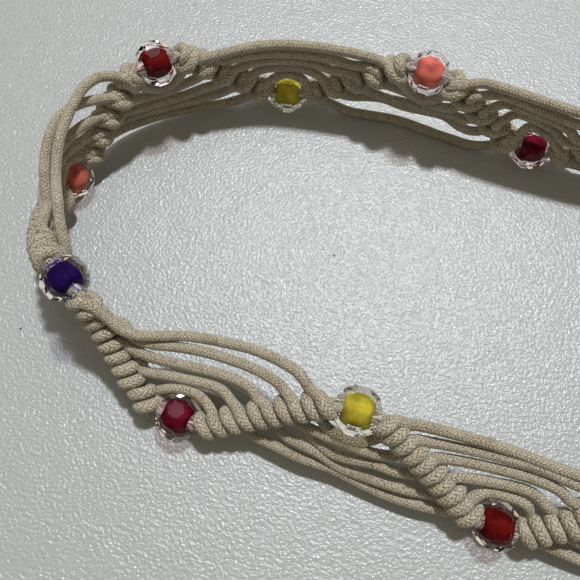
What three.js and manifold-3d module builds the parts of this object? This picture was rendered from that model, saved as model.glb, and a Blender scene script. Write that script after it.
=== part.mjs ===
// Beaded macrame belt, fastened into one loop: five working cords are hitched in zigzag rows
// over a holding cord, and a faceted bead sits on the holding cord at every turn of the zigzag.
// Units are millimetres and +Z is up. The loop stands on its edge, with its long way along X.

import * as THREE from "three";
import { mergeVertices } from "three/addons/utils/BufferGeometryUtils.js";
import Module from "manifold-3d";

const wasm = await Module();
wasm.setup();

// Cords
const CORD = 2.4; // diameter of every cord
const WORKING_CORDS = 5;
const CORD_SIDES = 5;
const GAP = 0.3; // clearance between neighbouring pieces
const HITCH_RIDGE = 1.25; // height of a hitch's loops over its bore
const HITCH_GROOVE = 0.6; // height of the groove between its two loops
const FLOAT_CLEAR = 0.5; // between a bead and the nearest float

// Beads
const BEADS = 22; // an even number, so that the zigzag closes
const BEAD_PITCH = 33.5; // along the belt from one bead to the next
const BEAD_LINES = 16; // across the belt between its two lines of beads
const BEAD_SIZE = 10;
const BEAD_LENGTH = 9.4;
const BEAD_SIDES = 10;
const ROW_END = 0.6; // bare holding cord between a bead and the first hitch
const LEVEL_SHARE = 0.45; // share of a long float's half length that runs level past its bead
const SHORT_FLOATS = 2; // floats next to the bead that have one level place in place of two

// Clasp
const CLASP_LENGTH = 16;
const CLASP_WALL = 1.28;
const CLASP_CORNER = 2;
const POCKET_DEPTH = 5;
const CLASP_AFTER = 14; // the clasp follows this bead

// The bent stretch, bead by bead along the loop, which turns left.
// way: to the next bead, as a share of BEAD_PITCH. turn: the belt's turn on that way, in degrees.
// lean: how far the upper edge leans out at the bead, in degrees.
// spread: distance between the middles of neighbouring floats at the bead, as a share of CORD.
const BENT_STRETCH = [
  { colour: "crimson", way: 0.92, turn: -5, lean: -2, spread: 1.2 },
  { colour: "pink", way: 1.03, turn: 18, lean: 0, spread: 1.22 },
  { colour: "yellow", way: 0.96, turn: 28, lean: 6, spread: 1.16 },
  { colour: "red", way: 0.95, turn: 42, lean: 3, spread: 1.2 },
  { colour: "pink", way: 1.1, turn: 68, lean: -7, spread: 1.18 },
  { colour: "violet", way: 0.98, turn: 24, lean: -10, spread: 1.2 },
  { colour: "crimson", way: 1.06, turn: 5, lean: -68, spread: 1.24 },
  { colour: "yellow", way: 1.02, turn: 0, lean: -42, spread: 1.15 },
  { colour: "red", way: 1, turn: 0, lean: -56, spread: 1.2 },
];
const PLAIN_SPREAD = 1.2; // spread on the rest of the loop
const LEAN_FADE = 5; // beads after the bent stretch until the belt stands upright
const REST_COLOURS = ["pink", "violet", "yellow", "crimson", "red", "yellow", "violet"];

const MATERIALS = {
  cord: { color: 0xb3a284, roughness: 0.75, metalness: 0 },
  clasp: { color: 0x8d8a84, roughness: 0.4, metalness: 0.8 },
  crimson: { color: 0x8e0f3c, roughness: 0.15, metalness: 0 },
  pink: { color: 0xe8505f, roughness: 0.15, metalness: 0 },
  yellow: { color: 0xe0b800, roughness: 0.15, metalness: 0 },
  red: { color: 0xa01018, roughness: 0.15, metalness: 0 },
  violet: { color: 0x33107a, roughness: 0.15, metalness: 0 },
};

// Sizes that follow from those above
const CORNER = 1 / Math.cos(Math.PI / CORD_SIDES); // a section's corner radius for a flat's radius of 1
const BORE_RADIUS = (CORD / 2 + GAP) * CORNER;
const RIDGE_RADIUS = BORE_RADIUS + HITCH_RIDGE;
const GROOVE_RADIUS = BORE_RADIUS + HITCH_GROOVE;
const BEND_OUT = RIDGE_RADIUS + GAP; // from the row's line to where a float bends along the belt
const NEAREST_FLOAT = BEAD_SIZE / 2 + FLOAT_CLEAR + CORD / 2;
const BORE_END = BEAD_LENGTH / 2 + GAP; // from a bead's middle to where the holding cord bends
const HALF_LINES = BEAD_LINES / 2;

function smooth(t) {
  return t * t * (3 - 2 * t);
}

function move(place, along, across) {
  return { along: place.along + along, across: place.across + across, out: place.out };
}

// Beads round the loop

function makeStations() {
  const stations = [];
  let along = 0;
  const last = BENT_STRETCH.length - 1;
  for (let i = 0; i < BEADS; i += 1) {
    const shown = BENT_STRETCH[i];
    const fade = Math.min((i - last) / LEAN_FADE, 1);
    const way = BEAD_PITCH * (shown ? shown.way : 1);
    stations.push({
      along,
      way,
      edge: i % 2 === 0 ? -1 : 1,
      lean: shown ? shown.lean : BENT_STRETCH[last].lean * (1 - smooth(fade)),
      spread: CORD * (shown ? shown.spread : PLAIN_SPREAD),
      colour: shown ? shown.colour : REST_COLOURS[(i - last - 1) % REST_COLOURS.length],
    });
    along += way;
  }
  return stations;
}

const stations = makeStations();
const loopLength = stations[BEADS - 1].along + stations[BEADS - 1].way;

// Bead of any number, where numbers go on past the first round of the loop
function stationOf(number) {
  const station = stations[number % BEADS];
  return { ...station, along: station.along + loopLength * Math.floor(number / BEADS) };
}

// Middle line of the belt in plan: arcs of the bent stretch, a straight leg, the end bend and a leg back

function arcShift(heading, turn) {
  return new THREE.Vector2(
    Math.sin(heading + turn) - Math.sin(heading),
    Math.cos(heading) - Math.cos(heading + turn),
  );
}

function pointOnArc(arc, distance) {
  const heading = arc.heading + (arc.turn * distance) / arc.length;
  const point = arc.start.clone();
  if (Math.abs(arc.turn) < 1e-6) {
    point.x += distance * Math.cos(arc.heading);
    point.y += distance * Math.sin(arc.heading);
  } else {
    const radius = arc.length / arc.turn;
    point.addScaledVector(arcShift(arc.heading, heading - arc.heading), radius);
  }
  return { point, heading };
}

function makeArcs() {
  const arcs = [];
  let end = { point: new THREE.Vector2(), heading: Math.PI };
  const add = (length, turn) => {
    const arc = { start: end.point, heading: end.heading, length, turn };
    arcs.push(arc);
    end = pointOnArc(arc, length);
  };
  for (const shown of BENT_STRETCH) {
    add(shown.way * BEAD_PITCH, THREE.MathUtils.degToRad(shown.turn));
  }
  const bentLength = arcs.reduce((sum, arc) => sum + arc.length, 0);
  const turnLeft = 3 * Math.PI - end.heading;
  const bend = arcShift(end.heading, turnLeft);
  // Leg, bend radius and leg back, from the way home in X and in Y and the length that is left
  const home = new THREE.Matrix3(
    Math.cos(end.heading), bend.x, -1,
    Math.sin(end.heading), bend.y, 0,
    1, turnLeft, 1,
  ).invert();
  const closing = new THREE.Vector3(-end.point.x, -end.point.y, loopLength - bentLength);
  closing.applyMatrix3(home);
  add(closing.x, 0);
  add(closing.y * turnLeft, turnLeft);
  add(closing.z, 0);
  return arcs;
}

const arcs = makeArcs();

function planAt(along) {
  let distance = THREE.MathUtils.euclideanModulo(along, loopLength);
  let index = 0;
  while (index < arcs.length - 1 && distance > arcs[index].length) {
    distance -= arcs[index].length;
    index += 1;
  }
  return pointOnArc(arcs[index], distance);
}

function leanAt(along) {
  const place = THREE.MathUtils.euclideanModulo(along, loopLength);
  const index = stations.findLastIndex((station) => station.along <= place);
  const from = stations[index];
  const to = stations[(index + 1) % BEADS];
  const share = smooth((place - from.along) / from.way);
  return THREE.MathUtils.degToRad(from.lean + (to.lean - from.lean) * share);
}

// Belt frame: along the loop, across the belt from its middle line upwards, and out of its face

function beltFrame(along) {
  const { point, heading } = planAt(along);
  const lean = leanAt(along);
  const forward = new THREE.Vector3(Math.cos(heading), Math.sin(heading), 0);
  const outward = new THREE.Vector3(Math.sin(heading), -Math.cos(heading), 0);
  const up = new THREE.Vector3(0, 0, 1);
  const across = outward.clone().multiplyScalar(Math.sin(lean)).addScaledVector(up, Math.cos(lean));
  const out = outward.clone().multiplyScalar(Math.cos(lean)).addScaledVector(up, -Math.sin(lean));
  const middle = new THREE.Vector3(point.x, point.y, BEAD_SIZE / 2 + HALF_LINES * Math.cos(lean));
  return { middle, forward, across, out };
}

function beltPoint(place) {
  const frame = beltFrame(place.along);
  return frame.middle
    .addScaledVector(frame.across, place.across)
    .addScaledVector(frame.out, place.out);
}

// A straight piece that follows the belt: its frame runs through two points of the belt

function chordFrame(along, across, half) {
  const back = beltPoint({ along: along - half, across, out: 0 });
  const front = beltPoint({ along: along + half, across, out: 0 });
  const forward = front.clone().sub(back).normalize();
  const out = forward.clone().cross(beltFrame(along).across).normalize();
  const up = out.clone().cross(forward);
  const middle = back.add(front).multiplyScalar(0.5);
  return new THREE.Matrix4().makeBasis(forward, up, out).setPosition(middle);
}

const claspMiddle = stations[CLASP_AFTER].along + stations[CLASP_AFTER].way / 2;
const claspFrame = chordFrame(claspMiddle, 0, CLASP_LENGTH / 2);
const FIRST_BEAD = CLASP_AFTER + 1; // the cords start and end in the clasp
const LAST_BEAD = CLASP_AFTER + BEADS;

// Closed skins made ring by ring, each ring right-handed about the way it is walked

class Skin {
  constructor() {
    this.points = [];
    this.faces = [];
  }

  ring(points) {
    const first = this.points.length;
    this.points.push(...points);
    return points.map((_, i) => first + i);
  }

  // Index shift at which the second ring's corners lie nearest to the first ring's
  bestShift(from, to) {
    const miss = (shift) => from.reduce((sum, index, i) => {
      const other = this.points[to[(i + shift) % to.length]];
      return sum + this.points[index].distanceToSquared(other);
    }, 0);
    const shifts = from.map((_, i) => i);
    return shifts.reduce((best, shift) => (miss(shift) < miss(best) ? shift : best), 0);
  }

  band(from, to, leftOut = []) {
    const shift = this.bestShift(from, to);
    const count = from.length;
    for (let i = 0; i < count; i += 1) {
      const next = (i + 1) % count;
      const here = to[(i + shift) % count];
      const there = to[(next + shift) % count];
      if (!leftOut.includes(2 * i)) {
        this.faces.push(from[i], from[next], there);
      }
      if (!leftOut.includes(2 * i + 1)) {
        this.faces.push(from[i], there, here);
      }
    }
  }

  // Band from a ring to one with twice its corners, in which corner 2i lies beside corner i
  bandToDouble(few, many, backwards) {
    const count = few.length;
    for (let i = 0; i < count; i += 1) {
      const next = (i + 1) % count;
      const outer = [many[2 * i], many[2 * i + 1], many[2 * next]];
      const faces = [
        [few[i], outer[1], outer[0]],
        [few[i], few[next], outer[1]],
        [few[next], outer[2], outer[1]],
      ];
      for (const face of faces) {
        this.faces.push(...(backwards ? face.toReversed() : face));
      }
    }
  }

  cap(ring, atEnd) {
    for (let i = 1; i < ring.length - 1; i += 1) {
      const face = [ring[0], ring[i], ring[i + 1]];
      this.faces.push(...(atEnd ? face : face.toReversed()));
    }
  }

  geometry() {
    const geometry = new THREE.BufferGeometry().setFromPoints(this.points);
    geometry.setIndex(this.faces);
    geometry.computeVertexNormals();
    return geometry;
  }
}

// Section of a cord about a direction in the belt's face: corner 0 points out of the face

function section(centre, direction, radius, wide = 1) {
  const side = { along: -direction.across, across: direction.along };
  const places = [];
  for (let i = 0; i < CORD_SIDES; i += 1) {
    const angle = Math.PI / 2 + (2 * Math.PI * i) / CORD_SIDES;
    const reach = radius * wide * Math.cos(angle);
    const place = move(centre, side.along * reach, side.across * reach);
    place.out += radius * Math.sin(angle);
    places.push(place);
  }
  return places;
}

function unit(along, across) {
  const length = Math.hypot(along, across);
  return { along: along / length, across: across / length };
}

// Section where a cord bends from one place of its route to the next

function bendSection(before, centre, after) {
  const arriving = unit(centre.along - before.along, centre.across - before.across);
  const leaving = unit(after.along - centre.along, after.across - centre.across);
  const middle = unit(arriving.along + leaving.along, arriving.across + leaving.across);
  const wide = 1 / (arriving.along * middle.along + arriving.across * middle.across);
  return section(centre, middle, CORD / 2, wide);
}

// Rings of a cord in the clasp: at the bottom of the pocket and at its mouth

function claspRings(skin, across, end) {
  const depths = [CLASP_LENGTH / 2 - POCKET_DEPTH + GAP, CLASP_LENGTH / 2 + GAP];
  return depths.map((depth) => {
    const places = section({ along: end * depth, across, out: 0 }, { along: 1, across: 0 }, CORD / 2);
    return skin.ring(places.map((place) => (
      new THREE.Vector3(place.along, place.across, place.out).applyMatrix4(claspFrame)
    )));
  });
}

// Rings at the inner places of a route, whose two outer places only give directions

function addRoute(skin, start, route) {
  let ring = start;
  for (let i = 1; i < route.length - 1; i += 1) {
    const places = bendSection(route[i - 1], route[i], route[i + 1]);
    const next = skin.ring(places.map(beltPoint));
    skin.band(ring, next);
    ring = next;
  }
  return ring;
}

// Place of a cord at the clasp, just outside the pocket at its start or end

function claspPlace(across, atStart) {
  const station = stationOf(atStart ? FIRST_BEAD : LAST_BEAD);
  const way = stations[CLASP_AFTER].way / 2;
  return { along: station.along + (atStart ? -way : way), across, out: 0 };
}

// Row of hitches between a bead and the next

function makeRow(number) {
  const from = stationOf(number);
  const to = stationOf(number + 1);
  const start = { along: from.along + BORE_END, across: from.edge * HALF_LINES, out: 0 };
  const end = { along: to.along - BORE_END, across: to.edge * HALF_LINES, out: 0 };
  const length = Math.hypot(end.along - start.along, end.across - start.across);
  return {
    start,
    length,
    direction: unit(end.along - start.along, end.across - start.across),
    pitch: (length - 2 * ROW_END) / WORKING_CORDS,
    rising: to.edge > from.edge,
  };
}

function placeInRow(row, distance) {
  return move(row.start, row.direction.along * distance, row.direction.across * distance);
}

// Working cord 0 is the uppermost: its hitch is the first in a falling row and the last in a rising one

function hitchCentre(row, cord) {
  const order = row.rising ? WORKING_CORDS - 1 - cord : cord;
  return placeInRow(row, ROW_END + (order + 0.5) * row.pitch);
}

// Place where a cord bends along the belt, just before or after its hitch

function hitchBend(row, cord, leaving) {
  const side = row.rising === leaving ? -BEND_OUT : BEND_OUT;
  return move(hitchCentre(row, cord), -side * row.direction.across, side * row.direction.along);
}

// Hitch on the holding cord: two loops round a bore, open where the cord comes in and goes out

const LOWER_FLAT = 1; // first corner of the flat that looks down the belt's face
const UPPER_FLAT = 3;
const RIDGE_PLACE = 0.52; // of a loop's middle, as a share of half the hitch

function addHitch(skin, row, cord) {
  const centre = hitchCentre(row, cord);
  const half = (row.pitch - GAP) / 2;
  const profile = [
    { at: -half, radius: BORE_RADIUS },
    { at: -half * RIDGE_PLACE, radius: RIDGE_RADIUS },
    { at: 0, radius: GROOVE_RADIUS },
    { at: half * RIDGE_PLACE, radius: RIDGE_RADIUS },
    { at: half, radius: BORE_RADIUS },
  ];
  const rings = profile.map(({ at, radius }) => {
    const place = move(centre, row.direction.along * at, row.direction.across * at);
    return skin.ring(section(place, row.direction, radius).map(beltPoint));
  });
  const flats = [LOWER_FLAT, UPPER_FLAT];
  skin.band(rings[0], rings[1]);
  skin.band(rings[1], rings[2], flats.flatMap((flat) => [2 * flat, 2 * flat + 1]));
  skin.band(rings[2], rings[3], flats.map((flat) => 2 * flat));
  skin.band(rings[3], rings[4]);
  skin.band(rings[4], rings[0]);
  const [lower, upper] = flats.map((flat) => [
    rings[1][flat],
    rings[1][flat + 1],
    rings[2][flat + 1],
    rings[3][flat + 1],
    rings[2][flat],
  ]);
  return row.rising ? { entry: upper, exit: lower } : { entry: lower, exit: upper };
}

// Floats: how near a cord passes to the bead, counted from the bead, and how high it runs there

function floatRank(station, cord) {
  return station.edge > 0 ? cord : WORKING_CORDS - 1 - cord;
}

function floatHeight(station, cord) {
  const below = NEAREST_FLOAT + floatRank(station, cord) * station.spread;
  return station.edge * (HALF_LINES - below);
}

// Route of a cord past a bead, from the hitch or the clasp before it to the one after it

function floatRoute(number, cord) {
  const station = stationOf(number);
  const across = floatHeight(station, cord);
  const level = (along) => ({ along, across, out: 0 });
  if (number === FIRST_BEAD) {
    const row = makeRow(number);
    const ahead = [hitchBend(row, cord, false), hitchCentre(row, cord)];
    return [claspPlace(across, true), level(station.along), ...ahead];
  }
  const row = makeRow(number - 1);
  const back = [hitchCentre(row, cord), hitchBend(row, cord, true)];
  if (number === LAST_BEAD) {
    return [...back, level(station.along), claspPlace(across, false)];
  }
  const next = makeRow(number);
  const ahead = [hitchBend(next, cord, false), hitchCentre(next, cord)];
  if (floatRank(station, cord) < SHORT_FLOATS) {
    return [...back, level(station.along), ...ahead];
  }
  const start = THREE.MathUtils.lerp(station.along, back[1].along, LEVEL_SHARE);
  const end = THREE.MathUtils.lerp(station.along, ahead[0].along, LEVEL_SHARE);
  return [...back, level(start), level(end), ...ahead];
}

function makeWorkingCord(cord) {
  const skin = new Skin();
  const opening = claspRings(skin, floatHeight(stationOf(FIRST_BEAD), cord), 1);
  skin.cap(opening[0], false);
  skin.band(opening[0], opening[1]);
  let ring = opening[1];
  for (let number = FIRST_BEAD; number < LAST_BEAD; number += 1) {
    ring = addRoute(skin, ring, floatRoute(number, cord));
    const hitch = addHitch(skin, makeRow(number), cord);
    skin.band(ring, hitch.entry.toReversed());
    ring = hitch.exit;
  }
  ring = addRoute(skin, ring, floatRoute(LAST_BEAD, cord));
  const closing = claspRings(skin, floatHeight(stationOf(LAST_BEAD), cord), -1);
  skin.band(ring, closing[1]);
  skin.band(closing[1], closing[0]);
  skin.cap(closing[0], true);
  return skin.geometry();
}

// Holding cord: straight through each bead and along each row, with places in the row to follow bends

const ROW_STEPS = 3;

function makeHoldingCord() {
  const skin = new Skin();
  const firstAcross = stationOf(FIRST_BEAD).edge * HALF_LINES;
  const lastAcross = stationOf(LAST_BEAD).edge * HALF_LINES;
  const route = [claspPlace(firstAcross, true), {
    along: stationOf(FIRST_BEAD).along - BORE_END,
    across: firstAcross,
    out: 0,
  }];
  for (let number = FIRST_BEAD; number < LAST_BEAD; number += 1) {
    const row = makeRow(number);
    for (let step = 0; step <= ROW_STEPS; step += 1) {
      route.push(placeInRow(row, (row.length * step) / ROW_STEPS));
    }
  }
  route.push({ along: stationOf(LAST_BEAD).along + BORE_END, across: lastAcross, out: 0 });
  route.push(claspPlace(lastAcross, false));
  const opening = claspRings(skin, firstAcross, 1);
  skin.cap(opening[0], false);
  skin.band(opening[0], opening[1]);
  const ring = addRoute(skin, opening[1], route);
  const closing = claspRings(skin, lastAcross, -1);
  skin.band(ring, closing[1]);
  skin.band(closing[1], closing[0]);
  skin.cap(closing[0], true);
  return skin.geometry();
}

// Faceted bead about its bore, which lies along X

const SHOULDER_PLACE = 0.29; // shares of BEAD_SIZE
const SHOULDER_RADIUS = 0.43;

function makeBead() {
  const skin = new Skin();
  const ring = (x, radius, sides, twist) => {
    const points = [];
    for (let i = 0; i < sides; i += 1) {
      const angle = Math.PI / 2 + (2 * Math.PI * (i + twist)) / sides;
      points.push(new THREE.Vector3(x, radius * Math.cos(angle), radius * Math.sin(angle)));
    }
    return skin.ring(points);
  };
  const shoulder = SHOULDER_PLACE * BEAD_SIZE;
  const back = ring(-BEAD_LENGTH / 2, BORE_RADIUS, CORD_SIDES, 0);
  const backShoulder = ring(-shoulder, SHOULDER_RADIUS * BEAD_SIZE, BEAD_SIDES, 0);
  const girdle = ring(0, BEAD_SIZE / 2, BEAD_SIDES, 0.5);
  const frontShoulder = ring(shoulder, SHOULDER_RADIUS * BEAD_SIZE, BEAD_SIDES, 0);
  const front = ring(BEAD_LENGTH / 2, BORE_RADIUS, CORD_SIDES, 0);
  skin.bandToDouble(back, backShoulder, false);
  skin.band(backShoulder, girdle);
  skin.band(girdle, frontShoulder);
  skin.bandToDouble(front, frontShoulder, true);
  skin.band(front, back);
  return skin.geometry();
}

// Clasp: a plain block on edge with a pocket in each end, into which the cords go side by side

function solidFrom(geometry) {
  geometry.deleteAttribute("normal");
  geometry.deleteAttribute("uv");
  const merged = mergeVertices(geometry);
  return new wasm.Manifold(new wasm.Mesh({
    numProp: 3,
    vertProperties: new Float32Array(merged.attributes.position.array),
    triVerts: new Uint32Array(merged.index.array),
  }));
}

function geometryFrom(solid) {
  const mesh = solid.getMesh();
  const geometry = new THREE.BufferGeometry();
  geometry.setAttribute("position", new THREE.BufferAttribute(mesh.vertProperties, 3));
  geometry.setIndex(new THREE.BufferAttribute(mesh.triVerts, 1));
  geometry.computeVertexNormals();
  return geometry;
}

function makeClasp() {
  const plainReach = NEAREST_FLOAT - HALF_LINES + (WORKING_CORDS - 1) * CORD * PLAIN_SPREAD;
  const pocketHalf = Math.max(plainReach, HALF_LINES) + CORD / 2 + GAP;
  const pocketWide = CORD + 4 * GAP;
  const tall = 2 * (pocketHalf + CLASP_WALL);
  const x = CLASP_LENGTH / 2 - CLASP_CORNER;
  const z = pocketWide / 2 + CLASP_WALL;
  const cut = CLASP_CORNER / 2;
  const outline = new THREE.Shape([
    new THREE.Vector2(-x, -z),
    new THREE.Vector2(x, -z),
    new THREE.Vector2(x + CLASP_CORNER, -z + cut),
    new THREE.Vector2(x + CLASP_CORNER, z - cut),
    new THREE.Vector2(x, z),
    new THREE.Vector2(-x, z),
    new THREE.Vector2(-x - CLASP_CORNER, z - cut),
    new THREE.Vector2(-x - CLASP_CORNER, -z + cut),
  ]);
  const block = new THREE.ExtrudeGeometry(outline, { depth: tall, bevelEnabled: false });
  block.translate(0, 0, -tall / 2);
  block.rotateX(-Math.PI / 2);
  let solid = solidFrom(block);
  for (const end of [-1, 1]) {
    const pocket = new THREE.BoxGeometry(2 * POCKET_DEPTH, 2 * pocketHalf, pocketWide);
    pocket.translate((end * CLASP_LENGTH) / 2, 0, 0);
    solid = solid.subtract(solidFrom(pocket));
  }
  return geometryFrom(solid);
}

// Assembly

function makeMesh(name, geometry, finish) {
  const material = new THREE.MeshStandardMaterial({ ...MATERIALS[finish], flatShading: true });
  const mesh = new THREE.Mesh(geometry, material);
  mesh.name = name;
  return mesh;
}

function placeMesh(mesh, frame) {
  frame.decompose(mesh.position, mesh.quaternion, mesh.scale);
  return mesh;
}

const belt = new THREE.Group();
belt.add(makeMesh("holding_cord", makeHoldingCord(), "cord"));
for (let cord = 0; cord < WORKING_CORDS; cord += 1) {
  belt.add(makeMesh(`working_cord_${cord + 1}`, makeWorkingCord(cord), "cord"));
}
stations.forEach((station, i) => {
  const bead = makeMesh(`bead_${String(i + 1).padStart(2, "0")}`, makeBead(), station.colour);
  belt.add(placeMesh(bead, chordFrame(station.along, station.edge * HALF_LINES, BORE_END)));
});
belt.add(placeMesh(makeMesh("clasp", makeClasp(), "clasp"), claspFrame));

// The origin goes to the middle of the belt's box, at its bottom
const box = new THREE.Box3().setFromObject(belt, true);
const middle = box.getCenter(new THREE.Vector3());
belt.position.set(-middle.x, -middle.y, -box.min.z);
belt.updateMatrixWorld(true);

export default belt;
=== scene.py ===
"""Beaded macrame belt: braided cords in double half hitches, faceted beads and a plain clasp."""

import math

import bmesh
import bpy
import numpy as np
from bpy.props import FloatProperty, FloatVectorProperty, IntProperty, PointerProperty
from mathutils import Matrix, Vector


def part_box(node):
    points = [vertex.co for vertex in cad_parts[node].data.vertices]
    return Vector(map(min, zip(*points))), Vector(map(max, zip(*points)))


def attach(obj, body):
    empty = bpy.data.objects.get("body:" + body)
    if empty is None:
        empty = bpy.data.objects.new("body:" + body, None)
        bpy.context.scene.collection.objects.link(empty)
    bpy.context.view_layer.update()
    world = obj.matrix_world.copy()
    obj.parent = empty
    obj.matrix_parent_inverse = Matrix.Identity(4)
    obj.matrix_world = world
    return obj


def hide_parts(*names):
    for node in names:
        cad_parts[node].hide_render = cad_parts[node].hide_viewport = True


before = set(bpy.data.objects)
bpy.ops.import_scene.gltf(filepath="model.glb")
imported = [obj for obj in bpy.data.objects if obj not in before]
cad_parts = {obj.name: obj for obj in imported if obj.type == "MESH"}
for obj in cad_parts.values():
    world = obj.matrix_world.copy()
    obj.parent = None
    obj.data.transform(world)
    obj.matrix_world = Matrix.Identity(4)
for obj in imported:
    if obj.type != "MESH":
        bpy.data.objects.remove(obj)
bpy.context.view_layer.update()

MM = 0.001

bl_info = {
    "name": "Beaded macrame belt",
    "version": (1, 0, 0),
    "blender": (4, 5, 0),
    "location": "View3D > Sidebar > Belt",
    "description": "Braided cords, faceted beads and clasp of a macrame belt that lies on its edge",
    "category": "Add Mesh",
}

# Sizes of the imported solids, in millimetres
CORD = 2.4
WORKING_CORDS = 5
HITCH_REACH = 3.404  # from a row's line to where a float bends along the belt
BEADS = 22
BEAD_PITCH = 33.5
HALF_LINES = 8.0
BEAD_SIZE = 10.0
BEAD_LENGTH = 10.6
BORE_END = 5.0
ROW_END = -0.3  # the hitches that show sit closer to the beads than their plain solids
NEAREST_FLOAT = 6.7
LEVEL_SHARE = 0.45
CLASP_AFTER = 14
CLASP_HALF = 8.0
CLASP_DEPTHS = (3.3, 8.3)
# Bead by bead along the loop: core, way to the next bead as a share of BEAD_PITCH, turn and lean
# in degrees, and spread of the floats as a share of CORD
BENT_STRETCH = [
    ("crimson", 0.92, -5, -2, 1.2),
    ("pink", 1.03, 18, 0, 1.22),
    ("yellow", 0.96, 28, 6, 1.16),
    ("red", 0.95, 42, 3, 1.2),
    ("pink", 1.1, 68, -7, 1.18),
    ("violet", 0.98, 24, -10, 1.2),
    ("crimson", 1.06, 5, -68, 1.24),
    ("yellow", 1.02, 0, -42, 1.15),
    ("red", 1.0, 0, -56, 1.2),
]
PLAIN_SPREAD = 1.2
LEAN_FADE = 5
REST_COLOURS = ["pink", "violet", "yellow", "crimson", "red", "yellow", "violet"]
BODY = "root"
# Slope of the bars in a row of hitches: way along the row for each way across the holding cord
BAR_SLOPES = {0: 0.2, 1: 0.2, 2: 0.22, 3: 0.25, 4: 0.16, 5: 0.22, 6: 0.46, 7: 0.16}
PLAIN_SLOPE = 0.22
# Hitches, by row and cord, that are two round turns: the cord comes in or goes out over the front
TURNS_IN_FRONT = {(6, 0), (6, 1), (6, 2), (6, 3), (6, 4)}
TURNS_OUT_FRONT = {
    (4, 2), (4, 3), (5, 0), (7, 0), (7, 1), (7, 2), (7, 3), (7, 4),
    (0, 1), (0, 2), (0, 3), (21, 2), (21, 3),
}
# Hitches whose riding turn is pulled in tight
FLAT_HITCHES = {(3, 0), (4, 0), (4, 1), (5, 1), (5, 2)}
ROW_BOWS = {5: 3.2}  # how far a row hangs out of the straight line at its middle
# How the places of a working cord follow one another, in millimetres unless said otherwise
FLOAT_END_OUT = -0.8  # how far out of the face a float begins and ends
CLASP_FLOAT_WAY = 7.0  # along the belt from a bead to where a float ends beside the clasp
OPEN_WAY = 4  # way left between a hitch and a curved float from which a place is put in between
CLASH_WAYS = (1.0, 3.4)  # ways between two places at a joint, between which one of them is left out
HITCH_PLACES = 12  # a list of so many places or more is a hitch's
# The photo's side in pixels, and the camera that was fitted to it: its place in millimetres among the
# belt's own points, its heading in plan and its tilt in degrees
PHOTO_SIDE = 580
SENSOR = 36.0
LENS = 36.99
CAMERA_PLACE = (-33.28, -100.01, 136.97)
CAMERA_HEADING = (-0.3012, 0.9536, 0.0)
CAMERA_TILT = 70.4
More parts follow.
